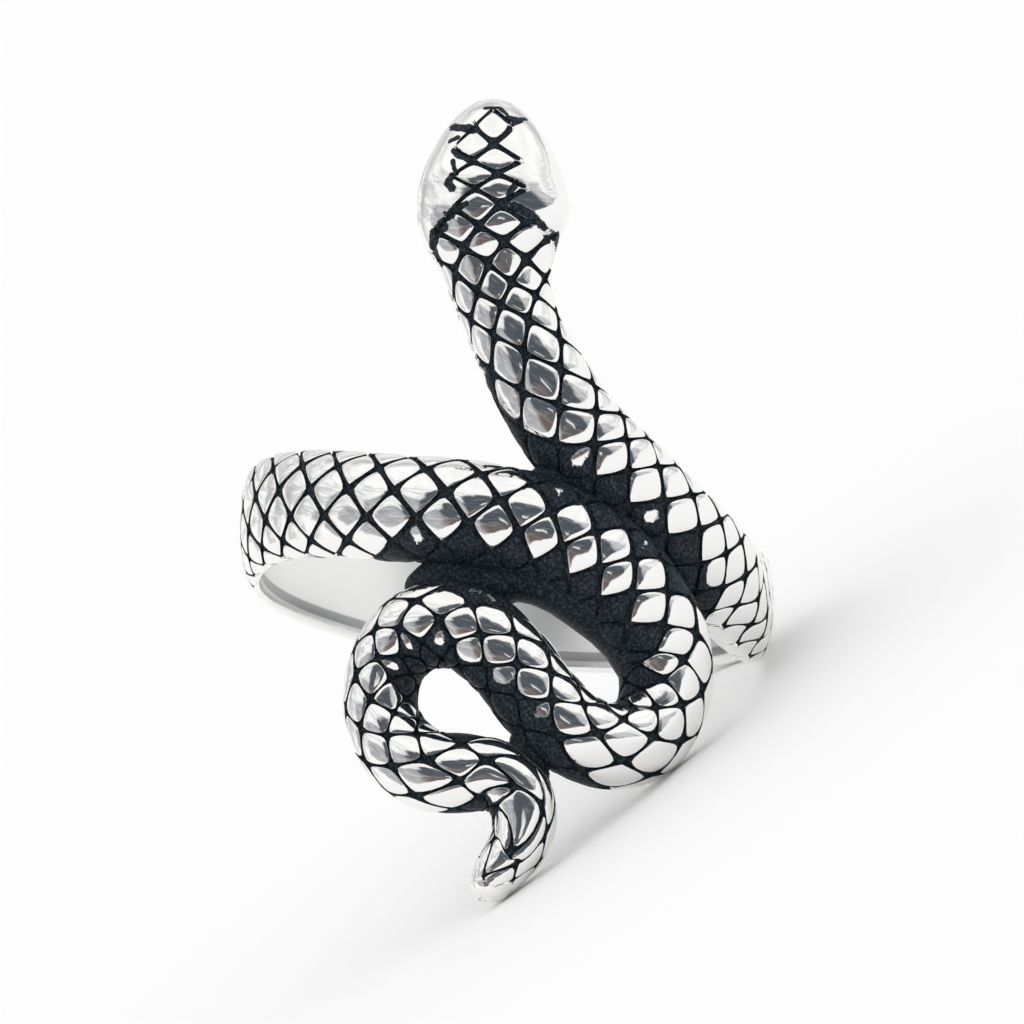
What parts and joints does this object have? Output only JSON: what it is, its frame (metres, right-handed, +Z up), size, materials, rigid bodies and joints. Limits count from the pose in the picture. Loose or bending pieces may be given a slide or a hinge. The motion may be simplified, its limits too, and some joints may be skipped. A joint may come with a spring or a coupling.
{
  "type": "snake ring",
  "caption": "Finger ring in the form of a scaled snake: raised oval head, band round the finger, body crossing the front and curling in an open loop to the tail tip.",
  "frame": {"origin": "on the axis of the finger hole, midway along the finger between the neck and the lowest coil", "axes": "+Z up as the ring lies by itself on a floor, on the lower edge of its band, its right-hand coil and its tail tip; -Y is the front, with the snake's coils; +X is the front's right-hand side"},
  "size_m": [0.0201, 0.0253, 0.0245],
  "materials": {
    "metal": "polished, blackened in the grooves"
  },
  "bodies": {
    "root": {"snake_ring": "metal"}
  },
  "joints": []
}
